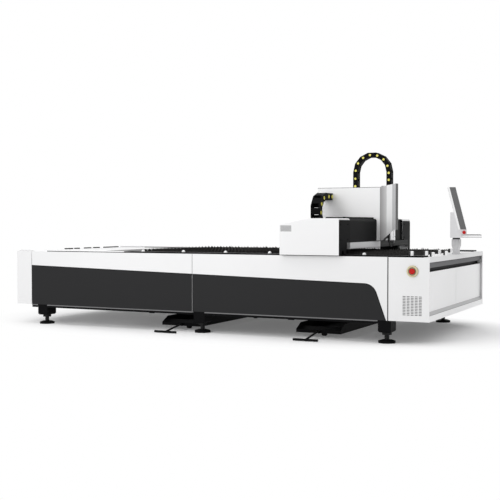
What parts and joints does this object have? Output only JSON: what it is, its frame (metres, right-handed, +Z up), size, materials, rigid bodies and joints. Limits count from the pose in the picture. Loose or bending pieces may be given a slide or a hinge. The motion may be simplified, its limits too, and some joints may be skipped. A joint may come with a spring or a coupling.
{
  "type": "fiber laser cutting machine",
  "caption": "Flat-bed laser cutting machine with a toothed slat table, travelling gantry, cutting head, cable chains, swivel console and pull-out scrap trolleys.",
  "frame": {"origin": "on the floor, under the middle of the machine's box at rest", "axes": "+X along the bed towards the console end, +Y from the operator side to the rear, +Z up"},
  "size_m": [4.7434, 2.339, 1.7736],
  "materials": {
    "white_paint": "semi-gloss",
    "dark_paint": "satin",
    "black_paint": "satin",
    "grey_paint": "satin",
    "light_paint": "satin",
    "frame_paint": "matte",
    "steel": "brushed",
    "slat_steel": "burnt",
    "aluminium": "machined",
    "rubber": "matte",
    "chain_plastic": "matte",
    "console_plastic": "matte",
    "red_plastic": "gloss",
    "collar_plastic": "gloss",
    "screen_plastic": "gloss"
  },
  "bodies": {
    "bed": {"side_beams": "frame_paint", "end_beams": "frame_paint", "cross_beams": "frame_paint", "chute_plates": "frame_paint", "slat_combs": "steel", "slats": "slat_steel", "leg_blocks": "black_paint", "levelling_screws": "black_paint", "foot_pads": "black_paint", "front_upper_panel_left": "white_paint", "front_upper_panel_right": "white_paint", "front_skirt_left": "dark_paint", "front_skirt_right": "dark_paint", "front_left_column": "white_paint", "front_right_column": "white_paint", "rear_upper_panels": "white_paint", "rear_skirts": "dark_paint", "rear_columns": "white_paint", "skirt_trims": "light_paint", "left_end_panel": "white_paint", "right_end_panels": "white_paint", "end_recess_rails": "grey_paint", "right_end_top_beam": "white_paint", "end_decks": "white_paint", "rail_covers": "black_paint", "cover_caps": "white_paint", "end_fingers": "white_paint", "x_guides": "steel", "estop_collar": "collar_plastic", "console_post": "light_paint"},
    "front_stop": {"front_estop_button": "red_plastic"},
    "gantry": {"gantry_beam": "black_paint", "front_end_housing": "white_paint", "rear_end_housing": "white_paint", "housing_side_panels": "black_paint", "x_saddles": "steel", "y_guides": "steel", "y_chain_trough": "black_paint"},
    "carriage": {"carriage_cover": "white_paint", "carriage_saddle": "steel", "z_column_cover": "white_paint", "y_chain": "chain_plastic", "z_chain": "chain_plastic"},
    "head": {"z_slide": "aluminium", "cutting_head": "aluminium", "nozzle": "aluminium"},
    "console": {"console_housing": "console_plastic", "monitor_back": "white_paint", "monitor_frame": "grey_paint", "screen": "screen_plastic", "keyboard_tray": "white_paint"},
    "console_stop": {"console_estop_button": "red_plastic"},
    "left_trolley": {"left_trolley_tub": "black_paint"},
    "left_front_roller": {"left_front_wheel": "rubber"},
    "left_rear_rollers": {"left_rear_wheels": "rubber"},
    "left_tow_bar": {"left_tow_handle": "black_paint"},
    "right_trolley": {"right_trolley_tub": "black_paint"},
    "right_front_roller": {"right_front_wheel": "rubber"},
    "right_rear_rollers": {"right_rear_wheels": "rubber"},
    "right_tow_bar": {"right_tow_handle": "black_paint"}
  },
  "joints": [
    {"name": "gantry_travel", "type": "slide", "parent": "bed", "child": "gantry", "axis": [1, 0, 0], "range_m": [-2.7, 0.3]},
    {"name": "carriage_travel", "type": "slide", "parent": "gantry", "child": "carriage", "axis": [0, 1, 0], "range_m": [-0.43, 0.54]},
    {"name": "head_lift", "type": "slide", "parent": "carriage", "child": "head", "axis": [0, 0, 1], "range_m": [-0.02, 0.08], "deforming": ["z_chain"]},
    {"name": "console_swivel", "type": "hinge", "parent": "bed", "child": "console", "pos_m": [2.10133, 0.0565, 0.911], "axis": [0, 0, 1], "range_deg": [-60, 60]},
    {"name": "front_estop_press", "type": "slide", "parent": "bed", "child": "front_stop", "axis": [0, 1, 0], "range_m": [0, 0.006], "stiffness_N_per_m": 2000},
    {"name": "console_estop_press", "type": "slide", "parent": "console", "child": "console_stop", "axis": [-0.2419, 0.9703, 0], "range_m": [0, 0.004], "stiffness_N_per_m": 2000},
    {"name": "left_trolley_roll", "type": "slide", "parent": "bed", "child": "left_trolley", "axis": [0, -1, 0], "range_m": [0, 1.5]},
    {"name": "left_front_wheel_spin", "type": "hinge", "parent": "left_trolley", "child": "left_front_roller", "pos_m": [-0.43467, -0.6885, 0.019], "axis": [1, 0, 0], "continuous": true},
    {"name": "left_rear_wheel_spin", "type": "hinge", "parent": "left_trolley", "child": "left_rear_rollers", "pos_m": [-0.43467, 0.5115, 0.019], "axis": [1, 0, 0], "continuous": true},
    {"name": "left_tow_handle_lift", "type": "hinge", "parent": "left_trolley", "child": "left_tow_bar", "pos_m": [-0.43467, -0.8665, 0.057], "axis": [-1, 0, 0], "range_deg": [0, 45]},
    {"name": "right_trolley_roll", "type": "slide", "parent": "bed", "child": "right_trolley", "axis": [0, -1, 0], "range_m": [0, 1.5]},
    {"name": "right_front_wheel_spin", "type": "hinge", "parent": "right_trolley", "child": "right_front_roller", "pos_m": [1.03333, -0.6885, 0.019], "axis": [1, 0, 0], "continuous": true},
    {"name": "right_rear_wheel_spin", "type": "hinge", "parent": "right_trolley", "child": "right_rear_rollers", "pos_m": [1.03333, 0.5115, 0.019], "axis": [1, 0, 0], "continuous": true},
    {"name": "right_tow_handle_lift", "type": "hinge", "parent": "right_trolley", "child": "right_tow_bar", "pos_m": [1.03333, -0.8665, 0.057], "axis": [-1, 0, 0], "range_deg": [0, 45]}
  ],
  "couplings": [
    {"joint": "left_front_wheel_spin", "follows": "left_trolley_roll", "rad_per_m": 52.632},
    {"joint": "left_rear_wheel_spin", "follows": "left_trolley_roll", "rad_per_m": 52.632},
    {"joint": "right_front_wheel_spin", "follows": "right_trolley_roll", "rad_per_m": 52.632},
    {"joint": "right_rear_wheel_spin", "follows": "right_trolley_roll", "rad_per_m": 52.632}
  ]
}
